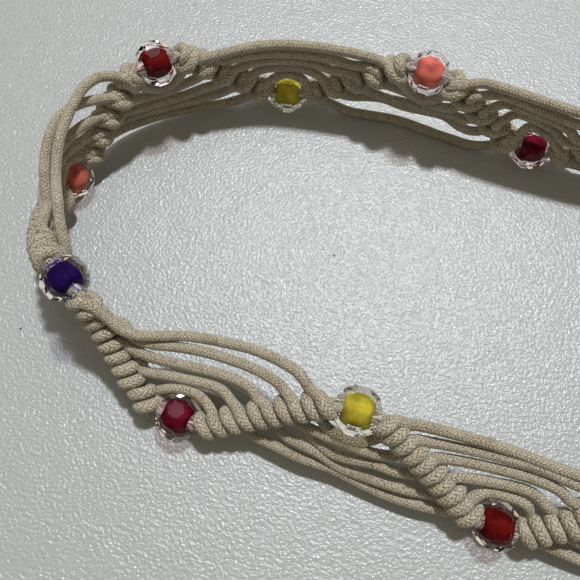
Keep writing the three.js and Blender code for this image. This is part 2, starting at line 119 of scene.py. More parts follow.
# Points picked on the photo along the middle of each free cord, in pixels from its top left
# corner, by bead number and cord
PICKED_POINTS = {
    (0, 0): [(462, 80), (480, 83.5), (500, 87.5), (520, 94), (540, 100.5), (560, 107), (580, 113)],
    (0, 1): [(470, 98), (480, 93.5), (500, 95), (520, 101.5), (540, 108.5), (560, 116), (580, 125)],
    (0, 2): [(484, 108), (492, 104), (505, 104), (520, 108), (540, 115.5), (560, 124), (570, 131),
        (577, 140)],
    (0, 3): [(498, 119), (505, 115.5), (515, 114), (530, 117.5), (545, 124), (555, 131), (562, 140)],
    (0, 4): [(511, 132), (519, 127.5), (530, 126.5), (540, 130), (550, 137), (557, 145)],
    (1, 0): [(395, 75), (411, 93), (427, 100), (450, 98)],
    (1, 1): [(381, 77), (404, 91), (427, 103), (450, 108), (461, 107)],
    (1, 2): [(362, 87), (381, 96), (404, 100), (427, 108), (450, 114), (468, 119), (477, 119)],
    (1, 3): [(333, 87), (349, 96), (381, 98), (404, 106), (427, 112), (445, 116), (459, 126), (473, 131),
        (486, 130)],
    (1, 4): [(319, 91), (330, 103), (349, 111), (376, 115), (404, 122), (427, 130), (450, 139),
        (473, 145), (491, 145), (505, 138)],
    (2, 0): [(200, 60), (220, 54.4), (243, 48.7), (266, 45.3), (289, 44.8), (312, 46.4), (335, 49.9),
        (358, 54.4), (381, 61.3)],
    (2, 1): [(207, 65), (225, 60), (245, 56), (266, 54), (289, 53.5), (312, 56), (335, 60), (352, 65)],
    (2, 2): [(228, 71), (243, 66), (260, 61.5), (280, 60), (300, 61), (318, 65), (332, 70)],
    (2, 3): [(247, 77), (258, 71), (275, 67.5), (295, 67), (308, 70), (318, 75)],
    (2, 4): [(262, 80), (270, 75.5), (285, 73.5), (297, 76), (304, 81)],
    (3, 0): [(128, 84), (140, 88), (155, 89), (170, 85), (185, 79), (195, 73)],
    (3, 1): [(118, 103), (135, 99), (150, 96), (165, 92), (180, 86), (195, 79)],
    (3, 2): [(125, 113), (145, 107), (165, 101), (185, 95), (205, 88), (217, 82)],
    (3, 3): [(120, 121), (140, 114), (160, 109), (180, 104), (200, 99), (220, 93), (232, 88)],
    (3, 4): [(105, 140), (120, 130), (140, 122), (160, 116), (180, 111), (200, 107), (220, 104),
        (240, 99), (250, 95)],
    (4, 0): [(120, 77), (100, 77), (86, 85), (76, 99), (68, 115), (61, 135), (57, 155), (56, 178),
        (57.3, 198), (59.3, 217.7), (63.3, 237.5)],
    (4, 1): [(62, 114), (53.4, 130.7), (47.5, 148.5), (44.5, 168.3), (45.5, 188), (47.5, 204)],
    (6, 0): [(100.6, 309.4), (108.3, 318.3), (119.4, 328.3), (130.6, 333.3), (152.8, 335.2),
        (186, 336.1), (210, 340), (230, 343.7), (250, 348.8), (260, 352), (270, 355.8), (280, 361.2),
        (290, 367.2), (300, 375), (307, 383), (311, 390), (315, 398)],
    (6, 1): [(130.6, 341.7), (152.8, 344.5), (175, 346.8), (197, 350.3), (210, 354), (230, 359.5),
        (250, 367), (260, 371.5), (270, 377), (278, 383), (283, 389), (287, 396)],
    (6, 2): [(147, 356), (164, 361.7), (186, 366), (208, 371.4), (230, 377.5), (240, 382), (250, 388),
        (255, 393.5), (258, 399)],
    (6, 3): [(141.7, 372.8), (164, 375.2), (186, 379.4), (208, 385.2), (220, 389), (227, 395), (232, 402)],
    (6, 4): [(158, 387.2), (175, 388.3), (186, 390.6), (197, 394.4), (208, 401.7), (216, 410), (220, 415)],
    (7, 0): [(330, 430), (342, 436), (361, 442), (380, 440)],
    (7, 1): [(315, 431), (329, 436), (345, 443), (365, 449), (380, 455)],
    (7, 2): [(330, 452), (342, 457), (352, 459), (361, 461), (374, 464), (386, 468), (399, 472.5)],
    (7, 3): [(286, 439), (299, 445), (311, 450), (320, 454), (330, 461), (340, 467.5), (350, 471),
        (360, 475), (374, 480), (386, 484), (399, 487.5), (411, 491)],
    (7, 4): [(330, 468), (342.5, 473.8), (350, 477), (361, 483.8), (386, 495), (405, 500), (417.5, 505)],
    (8, 0): [(400, 426), (410, 424.4), (422.5, 426), (435, 430), (447.5, 433.8), (460, 437),
        (472.5, 440.6), (485, 443.8), (497.5, 447), (510, 450.6), (522.5, 455), (535, 459.4),
        (547.5, 464.4), (560, 468.8), (572.5, 473.8)],
    (8, 1): [(401, 452), (410, 446), (420, 442), (429, 442), (441, 443.8), (454, 447.5), (466, 450),
        (479, 453), (491, 457), (504, 459.4), (516, 462.5), (529, 465.6), (541, 468.8), (554, 473),
        (566, 479.4), (579, 486)],
    (8, 2): [(417.5, 472.5), (427.5, 465), (435, 461), (445, 458.8), (455, 460.6), (466, 463),
        (479, 465.6), (491, 468.8), (504, 471), (516, 474.4), (529, 477.5), (541, 482), (551, 486),
        (560, 491), (566, 497.5), (572.5, 502.5)],
    (8, 3): [(451, 478.8), (460, 477.5), (472.5, 478.8), (485, 482), (497.5, 483.8), (510, 485.6),
        (522.5, 488.8), (535, 495), (542.5, 501), (547.5, 507.5)],
    (8, 4): [(465, 495), (475, 492.5), (485, 493), (497.5, 494.4), (510, 497), (520, 500.6),
        (527.5, 506), (531, 513.8)],
}
# How the picked points become places, in millimetres unless said otherwise
FIRST_LYING_BEAD = 5  # from this bead on the belt lies on its face, and its free cords lie in that face
BEND_BEAD = 4
# On an upright stretch a float out of the face and a float across from the plain pattern's look alike
# in the photo. A float is taken to lie out by this share of the way that would explain its look alone.
OUT_SHARE = 0.5
BEND_OUT_SHARE = 0.8  # the same at the bead in the bend
FARTHEST_OUT = 6.0
FARTHEST_ACROSS = 4.0  # from the plain pattern's float
HITCH_ROOM = 2.6  # along the belt between a hitch and the nearest place of a float
NEEDLESS = 0.35  # a place no farther than this from the line past it is left out
CLEAR_OF_FLOOR = 1.3  # lowest height of a float's middle above the floor
LEAST_UPRIGHT = 0.2  # least share of a way across that counts as height
NEAR_MISS = 0.3  # pixels by which a place on an upright stretch may miss its picked point
LYING_MISS = 0.5  # the same where the belt lies on its face
# Where the search for a place starts, from the bead along and then across or out, its longest step,
# and by how much a later find must be nearer to the bead or to the face to replace an earlier one
LYING_STARTS = [(along, across) for along in (-20, -10, 0, 10, 20) for across in (-8, 0, 8)]
UPRIGHT_STARTS = [(along, -1.0) for along in (-20, -12, -6, 0, 6, 12, 20)]
MARKED_START = (-15, -4)
STRIDE = 4.0
SHORT_STRIDE = 2.0
NEARER_BEAD = 3.0
NEARER_FACE = 0.5
# Places given one by one, by bead number and cord: along from the bead, across and out, in millimetres.
# The number says how many of the first or the last places from the picked points they replace.
HAND_STARTS = {
    (6, 0): (4, [
        (-24.6, 7.4, 0.9), (-22.2, 6.0, 0.6), (-20.2, 5.0, 0.4), (-17.9, 4.1, 0.4), (-15.4, 4.3, 0.3),
    ]),
    (6, 1): (1, [(-18.4, 2.3, -1.8), (-15.2, 2.1, -1.5), (-11.5, 3.8, -0.5)]),
    (7, 2): (0, [(-13.5, 0.6, -3.2), (-8.0, -2.4, -1.4)]),
    (7, 3): (0, [(-19.0, -2.0, -3.2), (-15.5, -3.0, -2.2)]),
    (7, 4): (0, [(-24.0, -5.2, -3.2), (-20.1, -6.6, -1.8)]),
}
HAND_ENDS = {(4, 0): (1, [(26.6, 7.7, -4.6), (29.9, 5.8, -3.9)])}
# How far out the first place lies that the photo gives, set here
HAND_FIRST_OUT = {(7, 3): -0.8}
# Further points picked on the photo, in pixels, each with a given way out; they follow the listed start
MARKED_POINTS = {(7, 4): [(275, 446, -0.8), (301, 458, 0.0)]}
# Floats whose places are all listed one by one
HAND_FLOATS = {
    (5, 1): [(0.0, -1.6, -0.6), (5.0, 2.2, -2.6)],
    (5, 2): [(0.0, -4.2, -0.6), (7.0, 0.5, -3.0)],
    (5, 3): [(0.0, -7.0, -0.8), (8.0, -2.0, -3.0), (14.0, 1.2, -3.5)],
    (5, 4): [(0.0, -9.6, -1.0), (8.0, -5.0, -3.0), (15.0, -0.5, -3.4), (20.0, -3.2, -3.3)],
}


# Belt: stations at the beads, and the way from belt places to points


def smooth(t):
    return t * t * (3 - 2 * t)


class Belt:
    """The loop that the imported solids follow, in millimetres before the shift to the part's origin."""

    def __init__(self):
        last = len(BENT_STRETCH) - 1
        self.stations = []
        along = 0.0
        for i in range(BEADS):
            if i <= last:
                colour, way, _, lean, spread = BENT_STRETCH[i]
            else:
                colour, way, spread = REST_COLOURS[(i - last - 1) % len(REST_COLOURS)], 1.0, PLAIN_SPREAD
                lean = BENT_STRETCH[last][3] * (1 - smooth(min((i - last) / LEAN_FADE, 1)))
            self.stations.append({
                "along": along,
                "way": way * BEAD_PITCH,
                "edge": 1 if i % 2 else -1,
                "lean": lean,
                "spread": spread * CORD,
                "colour": colour,
            })
            along += way * BEAD_PITCH
        self.length = along
        self.arcs = []
        self.make_arcs()
        starts = [0.0]
        for arc in self.arcs:
            starts.append(starts[-1] + arc["length"])
        self.arc_starts = np.array(starts)

    def make_arcs(self):
        end = (0.0, 0.0, math.pi)

        def add(length, turn):
            nonlocal end
            self.arcs.append({"start": end, "length": length, "turn": turn})
            end = self.on_arc(self.arcs[-1], length)

        for _, way, turn, _, _ in BENT_STRETCH:
            add(way * BEAD_PITCH, math.radians(turn))
        bent = sum(arc["length"] for arc in self.arcs)
        x, y, heading = end
        turn = 3 * math.pi - heading
        bend = (math.sin(heading + turn) - math.sin(heading), math.cos(heading) - math.cos(heading + turn))
        home = np.array([
            [math.cos(heading), bend[0], -1],
            [math.sin(heading), bend[1], 0],
            [1, turn, 1],
        ])
        leg, radius, leg_back = np.linalg.solve(home, [-x, -y, self.length - bent])
        add(leg, 0)
        add(radius * turn, turn)
        add(leg_back, 0)

    @staticmethod
    def on_arc(arc, distance):
        x, y, heading = arc["start"]
        turned = heading + arc["turn"] * distance / arc["length"]
        if abs(arc["turn"]) < 1e-6:
            return x + distance * np.cos(heading), y + distance * np.sin(heading), heading + 0 * distance
        radius = arc["length"] / arc["turn"]
        return (
            x + radius * (np.sin(turned) - np.sin(heading)),
            y + radius * (np.cos(heading) - np.cos(turned)),
            turned,
        )

    def station(self, number):
        """Bead of any number, where numbers go on past the first round of the loop."""
        found = dict(self.stations[number % BEADS])
        found["along"] += self.length * (number // BEADS)
        return found

    def plan(self, along):
        place = np.mod(along, self.length)
        x, y, heading = np.zeros_like(place), np.zeros_like(place), np.zeros_like(place)
        index = np.clip(np.searchsorted(self.arc_starts, place, side="left") - 1, 0, len(self.arcs) - 1)
        for i in np.unique(index):
            here = index == i
            x[here], y[here], heading[here] = self.on_arc(self.arcs[i], place[here] - self.arc_starts[i])
        return x, y, heading

    def lean(self, along):
        place = np.mod(along, self.length)
        starts = np.array([s["along"] for s in self.stations])
        leans = np.array([s["lean"] for s in self.stations])
        ways = np.array([s["way"] for s in self.stations])
        index = np.clip(np.searchsorted(starts, place, side="right") - 1, 0, BEADS - 1)
        share = smooth((place - starts[index]) / ways[index])
        return np.radians(leans[index] + (leans[(index + 1) % BEADS] - leans[index]) * share)

    def frames(self, along):
        """Middle line point, direction across and direction out of the face, for each place along."""
        along = np.asarray(along, float)
        x, y, heading = self.plan(along)
        lean = self.lean(along)
        outward = np.stack([np.sin(heading), -np.cos(heading), 0 * heading], -1)
        up = np.array([0.0, 0.0, 1.0])
        cos, sin = np.cos(lean)[..., None], np.sin(lean)[..., None]
        middle = np.stack([x, y, BEAD_SIZE / 2 + HALF_LINES * np.cos(lean)], -1)
        return middle, outward * sin + up * cos, outward * cos - up * sin

    def points(self, places):
        """Points in millimetres for places given as along, across and out."""
        places = np.asarray(places, float)
        middle, across, out = self.frames(places[..., 0])
        return middle + across * places[..., 1:2] + out * places[..., 2:3]

    def chord(self, along, across, half):
        """Axes and middle of a straight piece through two points of the belt."""
        back, front = self.points([[along - half, across, 0], [along + half, across, 0]])
        forward = (front - back) / np.linalg.norm(front - back)
        out = np.cross(forward, self.frames([along])[1][0])
        out /= np.linalg.norm(out)
        return np.stack([forward, np.cross(out, forward), out], -1), (back + front) / 2

    def row(self, number):
        """Row of hitches from a bead to the next."""
        start, end = self.station(number), self.station(number + 1)
        first = np.array([start["along"] + BORE_END, start["edge"] * HALF_LINES, 0.0])
        last = np.array([end["along"] - BORE_END, end["edge"] * HALF_LINES, 0.0])
        length = np.linalg.norm(last - first)
        direction = (last - first) / length
        rising = end["edge"] > start["edge"]
        left = np.array([-direction[1], direction[0], 0.0])
        return {
            "number": number % BEADS,
            "first": first,
            "length": length,
            "direction": direction,
            "leaving": -left if rising else left,
            "rising": rising,
            "pitch": (length - 2 * ROW_END) / WORKING_CORDS,
            "bow": ROW_BOWS.get(number % BEADS, 0.0),
        }

    @staticmethod
    def on_row(row, distance):
        """Place on the holding cord along a row."""
        aside = row["bow"] * math.sin(math.pi * distance / row["length"]) ** 0.6
        return row["first"] + row["direction"] * distance - row["leaving"] * aside

    @staticmethod
    def way_to_hitch(row, cord):
        order = WORKING_CORDS - 1 - cord if row["rising"] else cord
        return ROW_END + (order + 0.5) * row["pitch"]

    def hitch(self, row, cord):
        return self.on_row(row, self.way_to_hitch(row, cord))

    def straight_hitch(self, number, cord):
        """Place of a hitch as it would be on a row that doesn't bow."""
        row = self.row(number)
        return row["first"] + row["direction"] * self.way_to_hitch(row, cord)

    def float_level(self, number, cord):
        """Rank of a plain float counted from its bead, and its way across."""
        station = self.station(number)
        rank = cord if station["edge"] > 0 else WORKING_CORDS - 1 - cord
        return rank, station["edge"] * (HALF_LINES - NEAREST_FLOAT - rank * station["spread"])


belt = Belt()
clasp_along = belt.station(CLASP_AFTER)["along"] + belt.station(CLASP_AFTER)["way"] / 2
clasp_axes, clasp_middle = belt.chord(clasp_along, 0, CLASP_HALF)


def shift_to_part():
    """Way from the belt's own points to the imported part, read off the clasp."""
    low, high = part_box("clasp")
    centre = np.array((low + high) / 2) / MM
    return centre - clasp_middle


SHIFT = shift_to_part()


# Free cords, from the points picked on the photo


class Photo:
    """The photo's camera, which shows where a place on the belt lies in the photo."""

    def __init__(self):
        lift = math.radians(CAMERA_TILT)
        heading = np.array(CAMERA_HEADING) / np.linalg.norm(CAMERA_HEADING)
        self.forward = heading * math.cos(lift) - np.array([0, 0, math.sin(lift)])
        side = np.cross(self.forward, [0, 0, 1])
        self.side = side / np.linalg.norm(side)
        self.up = np.cross(self.side, self.forward)
        self.scale = PHOTO_SIDE / SENSOR * LENS

    def pixel(self, place):
        way = belt.points(place) - np.array(CAMERA_PLACE)
        depth = way @ self.forward
        middle = PHOTO_SIDE / 2
        return np.array([
            middle + self.scale * (way @ self.side) / depth,
            middle - self.scale * (way @ self.up) / depth,
        ])

    def solve(self, point, start, place_of, stride):
        """The two numbers whose place shows at a picked point, and the miss in pixels."""
        found = np.array(start, float)
        probe = 0.05
        for _ in range(60):
            shown = self.pixel(place_of(found))
            miss = shown - np.array(point)
            if np.abs(miss).max() < 1e-3:
                break
            slopes = np.stack([
                (self.pixel(place_of(found + shift)) - shown) / probe for shift in probe * np.eye(2)
            ], -1)
            step = np.linalg.lstsq(slopes, -miss, rcond=None)[0]
            step *= min(1.0, stride / np.abs(step).max())
            found += step
        return found, np.abs(miss).max()


photo = Photo()


def pattern_across(number, cord):
    """Way across at which the plain pattern's float runs, as a function of the way along."""
    middle = belt.station(number)["along"]
    _, level = belt.float_level(number, cord)
    before, after = belt.straight_hitch(number - 1, cord), belt.straight_hitch(number, cord)
    beside_hitch = 0.6
    along = np.array([
        before[0] + beside_hitch,
        middle - LEVEL_SHARE * (middle - before[0]),
        middle,
        middle + LEVEL_SHARE * (after[0] - middle),
        after[0] - beside_hitch,
    ])
    across = np.array([before[1], level, level, level, after[1]])

    def at(place):
        i = np.clip(np.searchsorted(along, place) - 1, 0, 3)
        share = np.clip((place - along[i]) / (along[i + 1] - along[i]), 0, 1)
        if i == 0:
            share = math.sin(share * math.pi / 2)
        elif i == 3:
            share = 1 - math.cos(share * math.pi / 2)
        return across[i] + (across[i + 1] - across[i]) * share

    return at


def lying_places(number, points):
    """Places in the belt's face that show at the picked points."""
    middle = belt.station(number)["along"]
    starts = [(middle + along, across) for along, across in LYING_STARTS]
    found, last = [], None
    for point in points:
        best = None
        for start in ([] if last is None else [last]) + starts:
            place, miss = photo.solve(point, start, lambda pair: (pair[0], pair[1], 0.0), STRIDE)
            nearer = best is None or abs(place[0] - middle) < abs(best[0] - middle) - NEARER_BEAD
            if miss < LYING_MISS and nearer:
                best = place
                if last is not None:
                    break
        last = best
        found.append((best[0], best[1], 0.0))
    return found


def upright_places(number, cord, points):
    """Places that show at the picked points, part of the way out from the plain pattern's float."""
    middle = belt.station(number)["along"]
    across = pattern_across(number, cord)
    share = BEND_OUT_SHARE if number == BEND_BEAD else OUT_SHARE
    found = []
    for point in points:
        best = None
        for shift, out in UPRIGHT_STARTS:
            place, miss = photo.solve(
                point, (middle + shift, out),
                lambda pair: (pair[0], across(pair[0]), pair[1]), SHORT_STRIDE,
            )
            nearer = best is None or abs(place[1]) < abs(best[1]) - NEARER_FACE
            if miss < NEAR_MISS and abs(place[1]) < FARTHEST_OUT and nearer:
                best = place
        if best is None:
            continue
        along, full = best
        out = full * share
        start = (along, across(along))
        place, miss = photo.solve(point, start, lambda pair: (pair[0], pair[1], out), STRIDE)
        if miss < NEAR_MISS and abs(place[1] - across(along)) < FARTHEST_ACROSS:
            found.append((place[0], place[1], out))
        else:
            found.append((along, across(along), full))
    return found


def thinned(places):
    """The places without those that lie on the line past them."""
    if len(places) < 3:
        return places
    first, last = places[0], places[-1]
    line = (last - first) / np.linalg.norm(last - first)
    ways = places - first
    asides = np.linalg.norm(ways - np.outer(ways @ line, line), axis=1)
    i = asides.argmax()
    if asides[i] < NEEDLESS:
        return np.array([first, last])
    return np.concatenate([thinned(places[:i + 1])[:-1], thinned(places[i:])])


def rounded(places):
    """Places to a tenth of a millimetre."""
    return [tuple(round(float(value), 1) for value in place) for place in places]


def marked_places(number, marks):
    """Places that show at picked points whose way out is set by hand."""
    middle = belt.station(number)["along"]
    found = []
    for x, y, out in marks:
        start = (middle + MARKED_START[0], MARKED_START[1])
        place, _ = photo.solve((x, y), start, lambda pair: (pair[0], pair[1], out), STRIDE)
        found.append((place[0] - middle, place[1], out))
    return rounded(found)


def slack_float(number, cord, points):
    """Places of a free cord, along from its bead, across and out."""
    if number >= FIRST_LYING_BEAD:
        places = np.array(lying_places(number, points))
    else:
        places = np.array(upright_places(number, cord, points))
    if places[0, 0] > places[-1, 0]:
        places = places[::-1]
    before, after = belt.straight_hitch(number - 1, cord), belt.straight_hitch(number, cord)
    inside = (places[:, 0] > before[0] + HITCH_ROOM) & (places[:, 0] < after[0] - HITCH_ROOM)
    places = thinned(places[inside])
    lean = belt.lean(places[:, 0])
    lowest = CLEAR_OF_FLOOR - BEAD_SIZE / 2 - HALF_LINES * np.cos(lean)
    places[:, 1] = np.maximum(places[:, 1], lowest / np.maximum(np.cos(lean), LEAST_UPRIGHT))
    places[:, 0] -= belt.station(number)["along"]
    key = (number, cord)
    places[0, 2] = HAND_FIRST_OUT.get(key, places[0, 2])
    found = rounded(places)
    dropped, start = HAND_STARTS.get(key, (0, []))
    found = start + marked_places(number, MARKED_POINTS.get(key, [])) + found[dropped:]
    dropped, end = HAND_ENDS.get(key, (0, []))
    return found[:len(found) - dropped] + end


def slack_floats():
    """Floats that lie in curves of their own, by bead number and cord."""
    found = dict(HAND_FLOATS)
    for (number, cord), points in PICKED_POINTS.items():
        found[number, cord] = slack_float(number, cord, points)
    return found


SLACK_FLOATS = slack_floats()


# Settings


class CordSettings(bpy.types.PropertyGroup):
    """Thickness, knots and braid of the cords."""

    thickness: FloatProperty(
        name="Thickness", default=CORD * MM, unit="LENGTH", description="Diameter of a cord",
    )
    knot_thickness: FloatProperty(
        name="Thickness in a hitch", default=2.84 * MM, unit="LENGTH",
        description="Diameter of a cord where it is pressed round the holding cord",
    )
    loop_radius: FloatProperty(
        name="Loop radius", default=2.05 * MM, unit="LENGTH",
        description="From the holding cord's middle to a loop's middle",
    )
    riding_radius: FloatProperty(
        name="Riding turn radius", default=3.0 * MM, unit="LENGTH",
        description="From the holding cord's middle to the turn that rides over the others",
    )
    step: FloatProperty(
        name="Step", default=0.45 * MM, unit="LENGTH", description="Way between two rings of a cord",
    )
    sides: IntProperty(name="Sides", default=12, min=6, description="Corners of a cord's section")
    braid_length: FloatProperty(
        name="Braid length", default=0.8 * MM, unit="LENGTH",
        description="Length of one braid cell along a cord",
    )
    braid_cells: IntProperty(name="Braid cells", default=10, min=4, description="Braid cells round a cord")
    light: FloatVectorProperty(
        name="Yarn", subtype="COLOR", size=3, default=(0.57, 0.502, 0.38),
        description="Colour of the yarn",
    )
    # Painted shade: this dark colour stands in for the shade that falls in the grooves between the braid's
    # yarns.
    dark: FloatVectorProperty(
        name="Yarn in the grooves", subtype="COLOR", size=3, default=(0.085, 0.063, 0.038),
        description="Colour between the braid's yarns",
    )


class BeadSettings(bpy.types.PropertyGroup):
    """Clear shells and coloured cores of the beads."""

    core_radius: FloatProperty(
        name="Core radius", default=2.65 * MM, unit="LENGTH", description="Radius of a core",
    )
    core_half: FloatProperty(
        name="Core half length", default=2.55 * MM, unit="LENGTH", description="Half of a core's length",
    )
    bore_radius: FloatProperty(
        name="Bore radius", default=1.35 * MM, unit="LENGTH", description="Radius of the bore",
    )
    crimson: FloatVectorProperty(
        name="Crimson", subtype="COLOR", size=3, default=(0.115, 0.001, 0.014),
        description="Crimson core",
    )
    pink: FloatVectorProperty(
        name="Pink", subtype="COLOR", size=3, default=(0.7, 0.17, 0.13), description="Coral pink core",
    )
    yellow: FloatVectorProperty(
        name="Yellow", subtype="COLOR", size=3, default=(0.5, 0.41, 0.04), description="Yellow core",
    )
    red: FloatVectorProperty(
        name="Red", subtype="COLOR", size=3, default=(0.11, 0.002, 0.002), description="Dark red core",
    )
    violet: FloatVectorProperty(
        name="Violet", subtype="COLOR", size=3, default=(0.012, 0.001, 0.06),
        description="Violet core",
    )


class StageSettings(bpy.types.PropertyGroup):
    """Floor, light and camera."""

    floor: FloatVectorProperty(
        name="Floor", subtype="COLOR", size=3, default=(0.46, 0.475, 0.465),
        description="Colour of the floor",
    )
    lens: FloatProperty(name="Lens", default=LENS, description="Focal length of the camera, in millimetres")
    sun: FloatProperty(name="Lamp", default=1.0, description="Strength of the main lamp")
    sky: FloatProperty(name="Surroundings", default=0.27, description="Strength of the light from all round")


# Materials


class Signal:
    """A value, vector or colour that leaves a node; arithmetic on it adds Math or Vector Math nodes."""

    def __init__(self, finish, socket):
        self.finish = finish
        self.socket = socket

    def math(self, operation, *others):
        sockets = dict(enumerate((self, *others)))
        return self.finish.node("ShaderNodeMath", {"operation": operation}, sockets)

    def __add__(self, other):
        return self.math("ADD", other)

    __radd__ = __add__

    def __sub__(self, other):
        return self.math("SUBTRACT", other)

    def __rsub__(self, other):
        return self.finish.node("ShaderNodeMath", {"operation": "SUBTRACT"}, {0: other, 1: self})

    def __mul__(self, other):
        return self.math("MULTIPLY", other)

    __rmul__ = __mul__

    def floor(self):
        return self.math("FLOOR")

    def fraction(self):
        return self.math("FRACT")

    def sine(self):
        return self.math("SINE")

    def size(self):
        return self.math("ABSOLUTE")

    def between(self, low, high):
        """0 below low, 1 above high and a smooth step in between."""
        settings = {"interpolation_type": "SMOOTHSTEP"}
        sockets = {"Value": self, "From Min": low, "From Max": high}
        return self.finish.node("ShaderNodeMapRange", settings, sockets)


class Finish:
    """A material under construction."""

    def __init__(self, name):
        self.material = bpy.data.materials.new(name)
        self.material.use_nodes = True
        self.tree = self.material.node_tree
        self.tree.nodes.clear()

    def node(self, kind, settings=None, sockets=None, output=0):
        """Adds a node: its settings first, then the values or links of its sockets."""
        node = self.tree.nodes.new(kind)
        for name, value in (settings or {}).items():
            if name == "stops":
                self.set_stops(node.color_ramp.elements, value)
            else:
                setattr(node, name, value)
        for name, value in (sockets or {}).items():
            socket = node.inputs[name]
            if isinstance(value, Signal):
                self.tree.links.new(value.socket, socket)
            else:
                socket.default_value = value
        return Signal(self, node.outputs[output]) if node.outputs else None

    @staticmethod
    def set_stops(elements, stops):
        while len(elements) < len(stops):
            elements.new(1.0)
        for element, (place, colour) in zip(elements, stops):
            element.position = place
            element.color = (*colour, 1)

    def mix(self, share, first, second):
        """Colour between two colours."""
        settings = {"data_type": "RGBA"}
        sockets = {"Factor": share, 6: colour_of(first), 7: colour_of(second)}
        return self.node("ShaderNodeMix", settings, sockets, 2)

    def tint(self, colour, by, share=1.0):
        """Colour multiplied by another."""
        settings = {"data_type": "RGBA", "blend_type": "MULTIPLY"}
        sockets = {"Factor": share, 6: colour_of(colour), 7: colour_of(by)}
        return self.node("ShaderNodeMix", settings, sockets, 2)

    def noise(self, scale, detail=2.0, roughness=0.5, vector=None):
        vector = vector or self.place()
        sockets = {"Vector": vector, "Scale": scale, "Detail": detail, "Roughness": roughness}
        return self.node("ShaderNodeTexNoise", {}, sockets)

    def place(self):
        return self.node("ShaderNodeTexCoord", {}, {}, 3)

    def bump(self, height, distance, strength=1.0):
        sockets = {"Height": height, "Distance": distance, "Strength": strength}
        return self.node("ShaderNodeBump", {}, sockets)

    def stretched(self, scale):
        """Place scaled by axis, so that a noise on it is drawn out along one of them."""
        return self.node("ShaderNodeMapping", {}, {"Vector": self.place(), "Scale": scale})

    def lamp_or_dull_ray(self):
        """1 for rays on their way to a lamp and rays that a dull surface has scattered, or else 0."""
        lamp_ray = self.node("ShaderNodeLightPath", {}, {}, 1)
        dull_ray = self.node("ShaderNodeLightPath", {}, {}, 2)
        return lamp_ray + dull_ray

    def surface(self, **sockets):
        """Principled shader: socket names are given with _ in place of spaces."""
        named = {name.replace("_", " "): value for name, value in sockets.items()}
        return self.node("ShaderNodeBsdfPrincipled", {}, named)

    def end(self, shader):
        self.node("ShaderNodeOutputMaterial", {}, {"Surface": shader})
        return self.material


def colour_of(value):
    return value if isinstance(value, Signal) else (*value[:3], 1)


def cord_finish(sizes):
    """Waxed round braid: two sets of yarns that cross, in cells, with stray brown and pale threads, and
    painted shade in the grooves between the yarns.
    """
    finish = Finish("waxed_braided_cord")
    uv = finish.node("ShaderNodeUVMap", {"uv_map": "Braid"})
    parts = [finish.node("ShaderNodeSeparateXYZ", {}, {0: uv}, i) for i in range(2)]
    turn, along = parts[0] * sizes.braid_cells, parts[1]
    stray = finish.noise(620.0, 3.0) * 1.3
    left, right = along + turn + stray, along - turn + stray
    left_row, right_row = left.floor(), right.floor()
    crossing = (((left_row - right_row) * 0.25).fraction() * 2).floor()
    left_run = ((left_row - right + 2) * 0.25).fraction() * 4 - 2
    right_run = ((left - right_row - 1) * 0.25).fraction() * 4 - 2
    left_yarn = (left.fraction() * math.pi).sine() * (1 - left_run * left_run * 0.55)
    right_yarn = (right.fraction() * math.pi).sine() * (1 - right_run * right_run * 0.55)
    yarn = left_yarn * (1 - crossing) + right_yarn * crossing
    left_thread = (left.fraction() * (3 * math.pi)).sine().size()
    right_thread = (right.fraction() * (3 * math.pi)).sine().size()
    thread = left_thread * (1 - crossing) + right_thread * crossing
    height = yarn * 0.78 + thread * 0.22
    patches = finish.noise(260.0, 3.0)
    strands = finish.noise(1900.0, 3.0, 0.7)
    # Painted shade: where the braid's height is low, between the yarns, the colour goes to the dark groove
    # colour; the stray strands shift it by real tone.
    colour = finish.mix((height + (strands - 0.5) * 1.1).between(-0.05, 0.75), sizes.dark, sizes.light)
    colour = finish.tint(colour, finish.node("ShaderNodeValToRGB", {"stops": [
        (0.3, (0.74, 0.66, 0.56)), (0.5, (1.0, 1.0, 1.0)), (0.72, (1.0, 1.0, 0.98)),
    ]}, {"Fac": patches}), 0.6)
    colour = finish.tint(colour, finish.node("ShaderNodeValToRGB", {"stops": [
        (0.3, (0.6, 0.52, 0.44)), (0.45, (0.95, 0.94, 0.9)),
        (0.58, (1.0, 1.0, 1.0)), (0.72, (1.25, 1.24, 1.2)),
    ]}, {"Fac": strands}), 0.8)
    normal = finish.bump(height + strands * 0.45, 0.2 * MM, 1.0)
    return finish.end(finish.surface(
        Base_Color=colour,
        Roughness=0.95 - height * 0.3,
        Specular_IOR_Level=0.3,
        Sheen_Weight=0.25,
        Sheen_Roughness=0.5,
        Normal=normal,
    ))


def shell_finish(name, colour):
    """Clear acrylic with a breath of its core's colour, which lets lamp light through."""
    finish = Finish(f"clear_acrylic_round_{name}")
    marks = finish.noise(420.0, 3.0)
    brightest = max(colour)
    tint = [0.9 + 0.085 * c / brightest for c in colour]
    clear = finish.surface(
        Base_Color=finish.mix(marks.between(0.45, 0.7), tint, [c * 0.95 for c in tint]),
        Roughness=marks.between(0.62, 0.85) * 0.08 + 0.02,
        IOR=1.33,
        Transmission_Weight=1.0,
        Normal=finish.bump(marks, 0.03 * MM, 0.3),
    )
    shade = [0.69 + 0.06 * c / brightest for c in colour]
    shadow = finish.node("ShaderNodeBsdfTransparent", {}, {"Color": (*shade, 1)})
    sockets = {0: finish.lamp_or_dull_ray(), 1: clear, 2: shadow}
    return finish.end(finish.node("ShaderNodeMixShader", {}, sockets))


